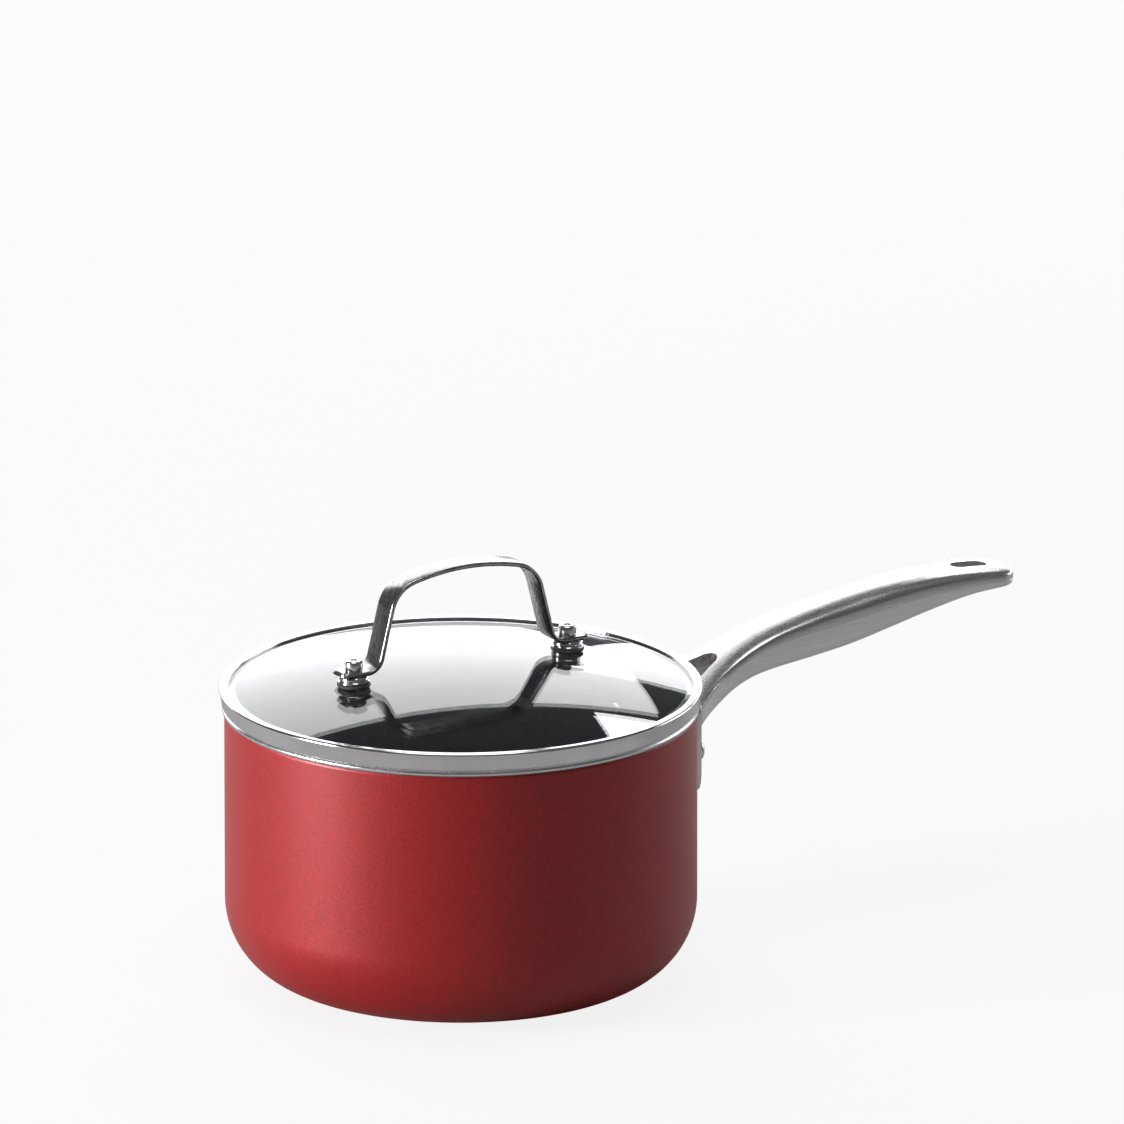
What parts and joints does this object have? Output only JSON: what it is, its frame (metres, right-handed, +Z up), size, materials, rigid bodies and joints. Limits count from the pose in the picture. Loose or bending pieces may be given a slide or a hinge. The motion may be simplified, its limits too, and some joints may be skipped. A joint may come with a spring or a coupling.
{
  "type": "saucepan with glass lid",
  "caption": "Straight-sided saucepan with a rounded base, a long forked steel handle and a lift-off domed glass lid with a bent strap handle.",
  "frame": {"origin": "centre of the flat underside of the base plate, where the pan stands on a table", "axes": "+Z up through the middle of the lid, +X along the long handle from the pan to the handle's tip"},
  "size_m": [0.3064, 0.1688, 0.1506],
  "materials": {
    "pan_body": "red metallic lacquer outside, dark ceramic non-stick coating inside, bare polished lip",
    "base_plate": "turned stainless steel",
    "handle_bracket": "polished stainless steel",
    "rivets": "polished stainless steel",
    "handle_upper_shell": "mirror polished stainless steel",
    "handle_lower_shell": "satin polished stainless steel",
    "lid_glass": "clear tempered glass with a faint grey-blue tint",
    "lid_rim_band": "polished stainless steel",
    "lid_handle": "mirror polished stainless steel",
    "lid_fittings": "turned and polished stainless steel",
    "soft_rings": "translucent white silicone"
  },
  "bodies": {
    "pan": {"pan_body": "pan_body", "base_plate": "base_plate", "handle_bracket": "handle_bracket", "bracket_rivet_left": "rivets", "bracket_rivet_right": "rivets", "handle_upper_shell": "handle_upper_shell", "handle_lower_shell": "handle_lower_shell"},
    "lid": {"lid_glass": "lid_glass", "lid_rim_band": "lid_rim_band", "lid_handle": "lid_handle", "lid_collar_left": "lid_fittings", "lid_collar_right": "lid_fittings", "lid_upper_ring_left": "soft_rings", "lid_upper_ring_right": "soft_rings", "lid_lower_ring_left": "soft_rings", "lid_lower_ring_right": "soft_rings", "lid_washer_left": "lid_fittings", "lid_washer_right": "lid_fittings", "lid_screw_left": "lid_fittings", "lid_screw_right": "lid_fittings", "lid_nut_left": "lid_fittings", "lid_nut_right": "lid_fittings"}
  },
  "joints": [
    {"name": "lid_lift", "type": "slide", "parent": "pan", "child": "lid", "axis": [0, 0, 1], "range_m": [0, 0.06]}
  ]
}
